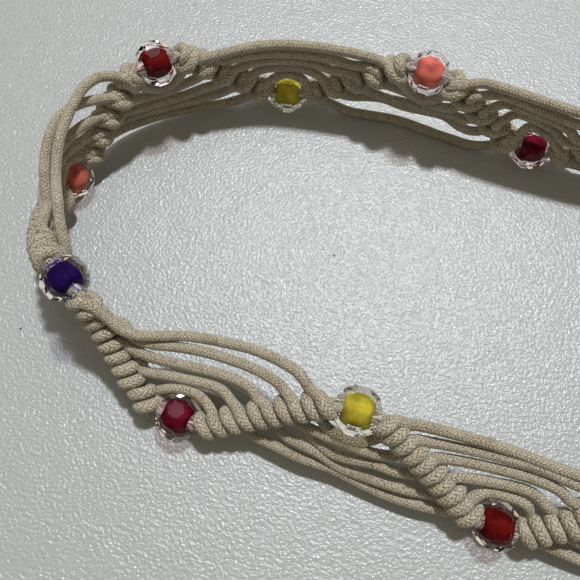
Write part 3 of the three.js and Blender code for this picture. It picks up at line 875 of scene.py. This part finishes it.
def painted_glint_edge_finish(name, colour):
    """Edges between a shell's facets with painted highlights: fine pale lines that stand in for the glints
    where the edges catch the light.
    """
    finish = Finish(f"acrylic_edge_{name}")
    brightest = max(colour)
    # Painted highlight: a pale finish tinted by the core's colour draws the edge glints; for lamp rays and
    # scattered rays the edges are clear.
    pale = finish.surface(
        Base_Color=(*[0.55 + 0.2 * c / brightest for c in colour], 1),
        Roughness=0.3,
        IOR=1.33,
        Transmission_Weight=0.35,
    )
    clear = finish.node("ShaderNodeBsdfTransparent", {}, {"Color": (0.9, 0.9, 0.9, 1)})
    share = finish.lamp_or_dull_ray() * 0.45 + 0.55
    return finish.end(finish.node("ShaderNodeMixShader", {}, {0: share, 1: pale, 2: clear}))


def bore_finish(name, colour):
    """Drilled wall of a shell's bore: white and dull, with dark grooves along it."""
    finish = Finish(f"acrylic_bore_{name}")
    grooves = finish.noise(2600.0, 1.0, 0.5, finish.stretched((0.12, 1, 1)))
    brightest = max(colour)
    dark = [0.1 + 0.14 * c / brightest for c in colour]
    return finish.end(finish.surface(
        Base_Color=finish.mix(grooves.between(0.42, 0.58), dark, (0.85, 0.82, 0.8)),
        Roughness=0.6,
        Specular_IOR_Level=0.2,
    ))


def core_finish(name, colour):
    """Moulded bead core: streaks along the moulding and paler specks."""
    finish = Finish(f"{name}_core")
    streaks = finish.noise(700.0, 3.0, 0.6, finish.stretched((0.35, 1, 1)))
    clouds = finish.noise(300.0, 2.0)
    paler = [min(1.0, c * 1.5 + 0.003) for c in colour]
    deeper = [c * 0.72 for c in colour]
    tone = finish.mix(clouds.between(0.35, 0.65), deeper, paler)
    tone = finish.mix(streaks.between(0.5, 0.75) * 0.6, tone, colour)
    return finish.end(finish.surface(
        Base_Color=tone,
        Roughness=streaks * 0.25 + 0.4,
        Specular_IOR_Level=0.04,
        Normal=finish.bump(streaks, 0.05 * MM, 0.5),
    ))


def clasp_finish():
    """Dull plated metal, brushed along, with worn spots."""
    finish = Finish("dull_metal")
    brush = finish.noise(500.0, 4.0, 0.6, finish.stretched((1, 1, 12)))
    wear = finish.noise(180.0, 3.0)
    colour = finish.mix(wear.between(0.45, 0.7), (0.36, 0.34, 0.31), (0.5, 0.47, 0.42))
    return finish.end(finish.surface(
        Base_Color=finish.tint(colour, finish.node("ShaderNodeValToRGB", {"stops": [
            (0.3, (0.8, 0.8, 0.8)), (0.6, (1.0, 1.0, 1.0)),
        ]}, {"Fac": brush})),
        Metallic=0.9,
        Roughness=brush * 0.25 + 0.28,
        Normal=finish.bump(brush, 0.03 * MM, 0.4),
    ))


def floor_finish(colour):
    """Pale plastic with a fine pebble grain."""
    finish = Finish("pale_floor")
    pebbles = finish.noise(1250.0, 2.0, 0.55)
    waves = finish.noise(160.0, 2.0, 0.5)
    tone = finish.mix(pebbles.between(0.3, 0.7), [c * 0.94 for c in colour], colour)
    cells = {"Vector": finish.place(), "Scale": 65.0}
    speck = finish.node("ShaderNodeTexVoronoi", {}, cells, 0)
    cell_colour = finish.node("ShaderNodeTexVoronoi", {}, cells, 1)
    chosen = finish.node("ShaderNodeSeparateXYZ", {}, {0: cell_colour}, 0)
    dust = (1 - speck.between(0.018, 0.03)) * chosen.between(0.35, 0.37)
    tone = finish.mix(dust, tone, (0.06, 0.06, 0.065))
    return finish.end(finish.surface(
        Base_Color=tone,
        Roughness=0.27,
        Specular_IOR_Level=0.7,
        Normal=finish.bump(pebbles + waves * 0.6, 0.6 * MM, 0.6),
    ))


# Cord routes


def turned(angle, radius):
    """Place round the holding cord: across in the leaving direction, and out of the face."""
    radians = math.radians(angle)
    return radius * math.sin(radians), radius * math.cos(radians)


def hitch_places(row, cord, sizes, variation):
    """Double half hitch, walked from the incoming float to the outgoing one.

    Each place is (along, across, out, radius). The front shows two bars side by side. In a clove
    hitch the turn that rides over both ends lies on the inner face."""
    tight = sizes.loop_radius / MM
    riding = tight if (row["number"], cord) in FLAT_HITCHES else sizes.riding_radius / MM
    centre = belt.hitch(row, cord)
    thick = sizes.knot_thickness / MM / 2
    thin = thick * 0.84
    half = row["pitch"] / 4
    tilt, roll, swell = variation
    key = (row["number"], cord)
    over_in, over_out = key in TURNS_IN_FRONT, key in TURNS_OUT_FRONT
    steps = []

    def put(place, leave, out, radius):
        steps.append((place, leave, out, radius))

    def arc(first, last, count, place, reach, radius, drift=0.0):
        for angle in np.linspace(first, last, count):
            leave, out = turned(angle + roll, reach)
            put(place + drift * leave / reach, leave, out, radius)

    if not (over_in or over_out):
        put(0.1 * half, -2.75, -1.45, thin * 1.02)
        put(-0.35 * half, -1.3, -1.95, thin)
        put(-0.8 * half, 0.25, -2.0, thin)
        arc(140, -100, 13, -half, tight, thick * swell, tilt)
        for share in (0.14, 0.34, 0.5, 0.66, 0.86):
            angle = -100 - share * 160
            reach = tight + (riding - tight) * math.sin(math.pi * share)
            leave, out = turned(angle + roll, reach)
            put(-half + 2 * half * smooth(share), leave, out, thick * 0.95)
        arc(-260, -500, 13, half, tight, thick * (2 - swell), tilt)
        put(0.8 * half, -0.25, -2.0, thin)
        put(0.35 * half, 1.3, -1.95, thin)
        put(-0.1 * half, 2.75, -1.45, thin * 1.02)
    else:
        half = -half
        if over_in:
            put(-1.1 * half - tilt, -2.9, 0.7, thin * 1.02)
        else:
            put(-1.2 * half, -2.6, -1.5, thin)
        arc(-62 if over_in else -125, 100, 11, -half, tight, thick * swell, tilt)
        for share in (0.14, 0.34, 0.5, 0.66, 0.86):
            leave, out = turned(100 + share * 160 + roll, tight)
            put(-half + 2 * half * smooth(share), leave, out, thick * 0.9)
        arc(260, 485 if over_in else 422, 11, half, tight, thick * (2 - swell), tilt)
        if over_in:
            put(1.2 * half, 2.6, -1.5, thin)
        else:
            put(1.0 * half + tilt, 2.9, 0.6, thin * 1.02)
    found = []
    for place, leave, out, radius in steps:
        point = centre + row["direction"] * place + row["leaving"] * leave
        found.append((point[0], point[1], out, radius))
    return found


def float_places(number, cord, sizes):
    """Places of a float past a bead, between its two hitches."""
    middle = belt.station(number)["along"]
    rank, across = belt.float_level(number, cord)
    plain = sizes.thickness / MM / 2
    start, end = None, None
    if number != CLASP_AFTER + 1:
        row = belt.row(number - 1)
        start = belt.hitch(row, cord) + row["leaving"] * HITCH_REACH + row["direction"] * 0.5
    if number != CLASP_AFTER + BEADS:
        row = belt.row(number)
        end = belt.hitch(row, cord) - row["leaving"] * HITCH_REACH - row["direction"] * 0.5
    found = []
    slack = SLACK_FLOATS.get((number % BEADS, cord))
    if slack:
        places = [(middle + place[0], place[1], place[2], plain) for place in slack]
        if places[0][0] - start[0] > OPEN_WAY:
            found.append((start[0], start[1], FLOAT_END_OUT, plain))
        found += places
        if end[0] - places[-1][0] > OPEN_WAY:
            found.append((end[0], end[1], FLOAT_END_OUT, plain))
        return found
    if start is None:
        found.append((middle - CLASP_FLOAT_WAY, across, 0.0, plain))
    else:
        found.append((start[0], start[1], FLOAT_END_OUT, plain))
        reach = middle - start[0]
        if rank >= 2:
            found.append((middle - LEVEL_SHARE * reach, across, 0.0, plain))
    if rank < 2 or start is None or end is None:
        found.append((middle, across, 0.0, plain))
    if end is None:
        found.append((middle + CLASP_FLOAT_WAY, across, 0.0, plain))
    else:
        reach = end[0] - middle
        if rank >= 2:
            found.append((middle + LEVEL_SHARE * reach, across, 0.0, plain))
        found.append((end[0], end[1], FLOAT_END_OUT, plain))
    return found


def curve_through(places, step):
    """Smooth curve through the places, as places close together."""
    given = np.asarray(places, float)
    gaps = np.linalg.norm(np.diff(given[:, :3], axis=0), axis=1)
    knots = np.concatenate([[0], np.cumsum(np.sqrt(np.maximum(gaps, 1e-6)))])
    slopes = np.zeros_like(given)
    wide = np.diff(knots)[:, None]
    rises = np.diff(given, axis=0) / wide
    slopes[1:-1] = (rises[:-1] * wide[1:] + rises[1:] * wide[:-1]) / (wide[1:] + wide[:-1])
    slopes[0], slopes[-1] = rises[0], rises[-1]
    found = []
    for i, gap in enumerate(gaps):
        count = max(2, int(math.ceil(2 * gap / step)))
        t = np.arange(count)[:, None] / count
        span = knots[i + 1] - knots[i]
        found.append(
            given[i] * (1 + 2 * t) * (1 - t) ** 2
            + slopes[i] * span * t * (1 - t) ** 2
            + given[i + 1] * t * t * (3 - 2 * t)
            + slopes[i + 1] * span * t * t * (t - 1)
        )
    found.append(given[-1:])
    return np.concatenate(found)


def clasp_ends(across, end):
    """Points of a cord in a pocket of the clasp, from its bottom to its mouth."""
    return np.array([
        clasp_middle + clasp_axes @ np.array([end * depth, across, 0.0]) for depth in CLASP_DEPTHS
    ])


def with_clasp_ends(line, radii, places, plain):
    """A cord's line and radii with its ends in the clasp's pockets."""
    opening = clasp_ends(places[0][1], 1)
    closing = clasp_ends(places[-1][1], -1)[::-1]
    radii = np.concatenate([[plain] * 2, radii, [plain] * 2])
    return np.concatenate([opening, line, closing]), radii


def even_steps(points, radii, step):
    """The same line with rings a step apart, and the way walked to each."""
    walked = np.concatenate([[0], np.cumsum(np.linalg.norm(np.diff(points, axis=0), axis=1))])
    count = int(round(walked[-1] / step))
    places = np.linspace(0, walked[-1], count + 1)
    line = np.stack([np.interp(places, walked, points[:, i]) for i in range(3)], -1)
    return line, np.interp(places, walked, radii), places


def join(places, following):
    """Puts places after others, without the ones at the joint that would turn the cord back."""
    following = list(following)
    if places:
        gap = math.dist(places[-1][:2], following[0][:2])
        if CLASH_WAYS[0] < gap < CLASH_WAYS[1]:
            if len(following) < HITCH_PLACES:
                places = places[:-1]
            else:
                following = following[1:]
    return places + following


def working_route(cord, sizes, rng):
    """Centre line, radius and length walked of a working cord, from clasp to clasp."""
    places = []
    first, last = CLASP_AFTER + 1, CLASP_AFTER + BEADS
    for number in range(first, last):
        places = join(places, float_places(number, cord, sizes))
        row = belt.row(number)
        slope = BAR_SLOPES.get(row["number"], PLAIN_SLOPE) + rng.uniform(-0.04, 0.04)
        variation = (slope * sizes.loop_radius / MM, rng.uniform(-8, 8), rng.uniform(0.97, 1.03))
        places = join(places, hitch_places(row, cord, sizes, variation))
    places = join(places, float_places(last, cord, sizes))
    curve = curve_through(places, sizes.step / MM)
    line = belt.points(curve[:, :3])
    line[:, 2] = np.maximum(line[:, 2], curve[:, 3] + 0.02)
    line, radii = with_clasp_ends(line, curve[:, 3], places, sizes.thickness / MM / 2)
    return even_steps(line, radii, sizes.step / MM)


def holding_route(sizes):
    """Centre line of the holding cord: straight through each bead, then along each row."""
    plain = sizes.thickness / MM / 2
    places = []
    first, last = CLASP_AFTER + 1, CLASP_AFTER + BEADS
    for number in range(first, last + 1):
        station = belt.station(number)
        across = station["edge"] * HALF_LINES
        for shift in (-BORE_END, -2.0, 2.0, BORE_END):
            places.append((station["along"] + shift, across, 0.0, plain * 0.95))
        if number < last:
            row = belt.row(number)
            for share in (0.25, 0.5, 0.75):
                point = belt.on_row(row, row["length"] * share)
                places.append((point[0], point[1], 0.0, plain * 0.8))
    curve = curve_through(places, 1.0)
    line = belt.points(curve[:, :3])
    line, radii = with_clasp_ends(line, curve[:, 3], places, plain)
    return even_steps(line, radii, 0.8)


def frames_along(line):
    """Two directions across the line at each point, without a twist from one to the next."""
    forward = np.gradient(line, axis=0)
    forward /= np.linalg.norm(forward, axis=1)[:, None]
    side = np.cross(forward[0], [0.0, 0.0, 1.0])
    side /= np.linalg.norm(side)
    sides = np.empty_like(line)
    for i, ahead in enumerate(forward):
        side = side - ahead * (side @ ahead)
        side = side / math.sqrt(side @ side)
        sides[i] = side
    return sides, np.cross(forward, sides)


def make_tube(name, line, radii, walked, sides, braid_length, finish):
    """Closed tube along a line in millimetres, with the braid's own UV map."""
    across, over = frames_along(line)
    angles = np.arange(sides) * (2 * math.pi / sides)
    cos, sin = np.cos(angles)[None, :, None], np.sin(angles)[None, :, None]
    ring = cos * across[:, None] + sin * over[:, None]
    points = line[:, None] + ring * radii[:, None, None]
    count = len(line)
    points = (points.reshape(-1, 3) + SHIFT) * MM
    ends = (line[[0, -1]] + SHIFT) * MM
    points = np.concatenate([points, ends])
    corner = np.arange(sides)
    following = (corner + 1) % sides
    starts = (np.arange(count - 1) * sides)[:, None]
    quads = np.stack([
        starts + corner, starts + following, starts + sides + following, starts + sides + corner,
    ], -1).reshape(-1, 4)
    base = count * sides
    caps = [(base, following[j], corner[j]) for j in range(sides)]
    rim = (count - 1) * sides
    caps += [(base + 1, rim + corner[j], rim + following[j]) for j in range(sides)]
    caps = np.array(caps)
    corners = np.concatenate([quads.ravel(), caps.ravel()])
    loop_starts = np.concatenate([
        np.arange(len(quads)) * 4, len(quads) * 4 + np.arange(len(caps)) * 3,
    ])
    mesh = bpy.data.meshes.new(name)
    mesh.vertices.add(len(points))
    mesh.vertices.foreach_set("co", points.astype(np.float32).ravel())
    mesh.loops.add(len(corners))
    mesh.loops.foreach_set("vertex_index", corners.astype(np.int32))
    mesh.polygons.add(len(loop_starts))
    mesh.polygons.foreach_set("loop_start", loop_starts.astype(np.int32))
    mesh.update(calc_edges=True)
    uv = mesh.uv_layers.new(name="Braid")
    cells = walked * MM / braid_length
    turn = np.stack([corner, corner + 1, corner + 1, corner], -1) / sides
    turn = np.broadcast_to(turn, (count - 1, sides, 4))
    height = np.stack([cells[:-1], cells[:-1], cells[1:], cells[1:]], -1)
    height = np.broadcast_to(height[:, None], (count - 1, sides, 4))
    quad_uv = np.stack([turn, height], -1).reshape(-1, 2)
    cap_uv = np.zeros((len(caps) * 3, 2))
    uv.data.foreach_set("uv", np.concatenate([quad_uv, cap_uv]).astype(np.float32).ravel())
    mesh.polygons.foreach_set("use_smooth", [True] * len(mesh.polygons))
    mesh.validate()
    mesh.materials.append(finish)
    return add_piece(name, mesh)


def add_piece(name, mesh):
    piece = bpy.data.objects.new(name, mesh)
    bpy.context.scene.collection.objects.link(piece)
    return piece


# Beads


def cut_solid(planes):
    """Convex solid that is left of a block after cuts by planes, each a direction and a distance."""
    solid = bmesh.new()
    bmesh.ops.create_cube(solid, size=30 * MM)
    for direction, distance in planes:
        normal = Vector(direction).normalized()
        geometry = solid.verts[:] + solid.edges[:] + solid.faces[:]
        bmesh.ops.bisect_plane(
            solid, geom=geometry, plane_co=normal * distance, plane_no=normal, clear_outer=True,
        )
        rim = [edge for edge in solid.edges if edge.is_boundary]
        if rim:
            bmesh.ops.contextual_create(solid, geom=rim)
    bmesh.ops.remove_doubles(solid, verts=solid.verts[:], dist=0.001 * MM)
    return solid


def facet_planes():
    """Facets of a bead about its bore, which lies along X: a girdle row and two rows to each end."""
    radius = BEAD_SIZE / 2 * MM
    planes = [((end, 0, 0), BEAD_LENGTH / 2 * MM) for end in (-1, 1)]
    for tip, count, distance, shift in (
        (0, 10, 0.985, 0.0), (34, 10, 0.98, 0.5), (62, 10, 0.975, 0.0),
    ):
        for end in (-1, 1) if tip else (1,):
            for i in range(count):
                turn = 2 * math.pi * (i + shift) / count
                lean = math.radians(tip)
                direction = (
                    end * math.sin(lean), math.cos(lean) * math.cos(turn), math.cos(lean) * math.sin(turn),
                )
                planes.append((direction, radius * distance))
    return planes


def lathe(name, profile, sides):
    """Ring about X from a closed profile of (x, radius)."""
    solid = bmesh.new()
    rings = []
    for x, radius in profile:
        rings.append([
            solid.verts.new((x, radius * math.cos(a), radius * math.sin(a)))
            for a in (2 * math.pi * i / sides for i in range(sides))
        ])
    for first, second in zip(rings, rings[1:] + rings[:1]):
        for i in range(sides):
            j = (i + 1) % sides
            solid.faces.new((first[i], second[i], second[j], first[j]))
    bmesh.ops.recalc_face_normals(solid, faces=solid.faces[:])
    mesh = bpy.data.meshes.new(name)
    solid.to_mesh(mesh)
    solid.free()
    mesh.polygons.foreach_set("use_smooth", [True] * len(mesh.polygons))
    return mesh


def shell_mesh(bore):
    """Faceted shell with its bore, cut from a block and bored through by a many-sided tube."""
    solid = cut_solid(facet_planes())
    mesh = bpy.data.meshes.new("bead_shell")
    bmesh.ops.recalc_face_normals(solid, faces=solid.faces[:])
    solid.to_mesh(mesh)
    solid.free()
    drill_half, drill_middle = 6 * MM, 0.01 * MM
    drill = lathe("bead_drill", [
        (-drill_half, bore), (drill_half, bore), (drill_half, drill_middle), (-drill_half, drill_middle),
    ], 20)
    for part in (mesh, drill):
        for _ in range(3):
            part.materials.append(None)
    drill.polygons.foreach_set("material_index", [2] * len(drill.polygons))
    shell = add_piece("bead_shell_block", mesh)
    drill_piece = add_piece("bead_drill", drill)
    cut = shell.modifiers.new("bore", "BOOLEAN")
    cut.object = drill_piece
    cut.operation = "DIFFERENCE"
    cut.solver = "EXACT"
    soften = shell.modifiers.new("soften", "BEVEL")
    soften.width = 0.12 * MM
    soften.segments = 1
    # The bevel faces take the second material: the painted highlight on the facet edges.
    soften.material = 1
    soften.limit_method = "ANGLE"
    soften.angle_limit = math.radians(12)
    depsgraph = bpy.context.evaluated_depsgraph_get()
    finished = bpy.data.meshes.new_from_object(shell.evaluated_get(depsgraph))
    for piece in (shell, drill_piece):
        bpy.data.objects.remove(piece)
    finished.name = "bead_shell"
    return finished


def bead_matrix(station, roll):
    """Place of a bead: its bore along the belt, rolled about it."""
    axes, middle = belt.chord(station["along"], station["edge"] * HALF_LINES, BORE_END)
    matrix = Matrix([[*axes[i], (middle[i] + SHIFT[i]) * MM] for i in range(3)] + [[0, 0, 0, 1]])
    return matrix @ Matrix.Rotation(roll, 4, "X")


# Operators


class BELT_OT_cords(bpy.types.Operator):
    """Makes the five working cords with their hitches, and the holding cord in their middle"""

    bl_idname = "belt.cords"
    bl_label = "Cords"

    def execute(self, context):
        sizes = context.scene.belt_cords
        finish = cord_finish(sizes)
        rng = np.random.default_rng(7)
        for cord in range(WORKING_CORDS):
            node = f"working_cord_{cord + 1}"
            route = working_route(cord, sizes, rng)
            tube = make_tube(f"braided_{node}", *route, sizes.sides, sizes.braid_length, finish)
            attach(tube, BODY)
            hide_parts(node)
        route = holding_route(sizes)
        tube = make_tube("braided_holding_cord", *route, sizes.sides, sizes.braid_length, finish)
        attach(tube, BODY)
        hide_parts("holding_cord")
        return {"FINISHED"}


class BELT_OT_beads(bpy.types.Operator):
    """Makes a clear faceted shell and a coloured core for every bead"""

    bl_idname = "belt.beads"
    bl_label = "Beads"

    def execute(self, context):
        sizes = context.scene.belt_beads
        clear = shell_mesh(sizes.bore_radius)
        shells = {}
        half, radius, bore = sizes.core_half, sizes.core_radius, sizes.bore_radius - 0.1 * MM
        profile = [
            (-half, bore), (-half, radius * 0.6), (-half * 0.86, radius * 0.8), (-half * 0.6, radius * 0.93),
            (-half * 0.25, radius), (half * 0.25, radius), (half * 0.6, radius * 0.93),
            (half * 0.86, radius * 0.8), (half, radius * 0.6), (half, bore),
        ]
        cores = {}
        rng = np.random.default_rng(3)
        for i, station in enumerate(belt.stations):
            colour = station["colour"]
            if colour not in cores:
                cores[colour] = lathe(f"core_{colour}", profile, 24)
                cores[colour].materials.append(core_finish(colour, getattr(sizes, colour)))
                shells[colour] = clear.copy()
                for place, make in enumerate((shell_finish, painted_glint_edge_finish, bore_finish)):
                    shells[colour].materials[place] = make(colour, getattr(sizes, colour))
            matrix = bead_matrix(station, rng.uniform(0, math.pi / 4))
            node = f"bead_{i + 1:02d}"
            for name, mesh, slot in (
                (f"{node}_shell", shells[colour], "bead_clear"),
                (f"{node}_core", cores[colour], f"bead_{colour}"),
            ):
                piece = add_piece(name, mesh)
                piece.matrix_world = matrix
                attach(piece, BODY)
                if slot == "bead_clear":
                    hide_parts(node)
        return {"FINISHED"}


class BELT_OT_clasp(bpy.types.Operator):
    """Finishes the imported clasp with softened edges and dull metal"""

    bl_idname = "belt.clasp"
    bl_label = "Clasp"

    def execute(self, context):
        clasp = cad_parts["clasp"]
        clasp.data.materials.clear()
        clasp.data.materials.append(clasp_finish())
        soften = clasp.modifiers.new("soften", "BEVEL")
        soften.width = 0.35 * MM
        soften.segments = 3
        soften.limit_method = "ANGLE"
        soften.angle_limit = math.radians(25)
        return {"FINISHED"}


def aim(item, direction, up=(0, 0, 1)):
    """Turns a camera or lamp so that it looks along a direction."""
    forward = Vector(direction).normalized()
    side = forward.cross(Vector(up)).normalized()
    item.rotation_mode = "QUATERNION"
    item.rotation_quaternion = Matrix((side, side.cross(forward), -forward)).transposed().to_quaternion()


class BELT_OT_stage(bpy.types.Operator):
    """Makes the floor, the lamps and the camera"""

    bl_idname = "belt.stage"
    bl_label = "Stage"

    def execute(self, context):
        settings = context.scene.belt_stage
        floor_mesh = bpy.data.meshes.new("floor")
        side = 3.0
        corners = [(-side, -side, 0), (side, -side, 0), (side, side, 0), (-side, side, 0)]
        floor_mesh.from_pydata(corners, [], [(0, 1, 2, 3)])
        floor_mesh.materials.append(floor_finish(settings.floor))
        floor = add_piece("floor", floor_mesh)
        centre = (Vector((-60, 0, 0)) + Vector(SHIFT)) * MM
        for name, offset, size, power in (
            ("lamp_main", (0.071, 0.404, 1.128), 0.09, 12.1), ("lamp_second", (-0.25, 0.6, 1.3), 0.5, 1.6),
        ):
            lamp = bpy.data.lights.new(name, "AREA")
            lamp.size = size
            lamp.energy = power * settings.sun
            lamp.color = (0.965, 0.995, 1.035)
            piece = bpy.data.objects.new(name, lamp)
            context.scene.collection.objects.link(piece)
            piece.location = centre + Vector(offset)
            aim(piece, -Vector(offset))
        world = bpy.data.worlds.new("surroundings")
        context.scene.world = world
        world.use_nodes = True
        background = world.node_tree.nodes["Background"]
        background.inputs["Color"].default_value = (1.0, 0.915, 0.75, 1)
        path = world.node_tree.nodes.new("ShaderNodeLightPath")
        strength = settings.sky
        for ray, gain in (("Is Glossy Ray", -0.8), ("Is Transmission Ray", 2.6)):
            step = world.node_tree.nodes.new("ShaderNodeMath")
            step.operation = "MULTIPLY_ADD"
            step.inputs[1].default_value = gain * settings.sky
            world.node_tree.links.new(path.outputs[ray], step.inputs[0])
            if ray == "Is Glossy Ray":
                step.inputs[2].default_value = strength
            else:
                world.node_tree.links.new(strength, step.inputs[2])
            strength = step.outputs[0]
        world.node_tree.links.new(strength, background.inputs["Strength"])
        context.scene.view_settings.view_transform = "Standard"
        data = bpy.data.cameras.new("camera")
        data.sensor_width = SENSOR
        data.lens = settings.lens
        data.clip_start = 0.005
        camera = bpy.data.objects.new("camera", data)
        context.scene.collection.objects.link(camera)
        camera.location = (Vector(CAMERA_PLACE) + Vector(SHIFT)) * MM
        lift = math.radians(CAMERA_TILT)
        plan = Vector(CAMERA_HEADING).normalized()
        aim(camera, plan * math.cos(lift) - Vector((0, 0, math.sin(lift))))
        context.scene.camera = camera
        return {"FINISHED"}


class BELT_PT_panel(bpy.types.Panel):
    """Lists the belt's operators and settings"""

    bl_idname = "BELT_PT_panel"
    bl_label = "Beaded belt"
    bl_space_type = "VIEW_3D"
    bl_region_type = "UI"
    bl_category = "Belt"

    def draw(self, context):
        for operator, settings in (
            ("belt.cords", context.scene.belt_cords),
            ("belt.beads", context.scene.belt_beads),
            ("belt.clasp", None),
            ("belt.stage", context.scene.belt_stage),
        ):
            self.layout.operator(operator)
            if settings:
                for name in settings.__annotations__:
                    self.layout.prop(settings, name)


CLASSES = (
    CordSettings,
    BeadSettings,
    StageSettings,
    BELT_OT_cords,
    BELT_OT_beads,
    BELT_OT_clasp,
    BELT_OT_stage,
    BELT_PT_panel,
)


def register():
    for item in CLASSES:
        bpy.utils.register_class(item)
    bpy.types.Scene.belt_cords = PointerProperty(type=CordSettings)
    bpy.types.Scene.belt_beads = PointerProperty(type=BeadSettings)
    bpy.types.Scene.belt_stage = PointerProperty(type=StageSettings)


def unregister():
    for name in ("belt_cords", "belt_beads", "belt_stage"):
        delattr(bpy.types.Scene, name)
    for item in reversed(CLASSES):
        bpy.utils.unregister_class(item)


def main():
    register()
    bpy.ops.belt.cords()
    bpy.ops.belt.beads()
    bpy.ops.belt.clasp()
    bpy.ops.belt.stage()


if __name__ == "__main__":
    main()
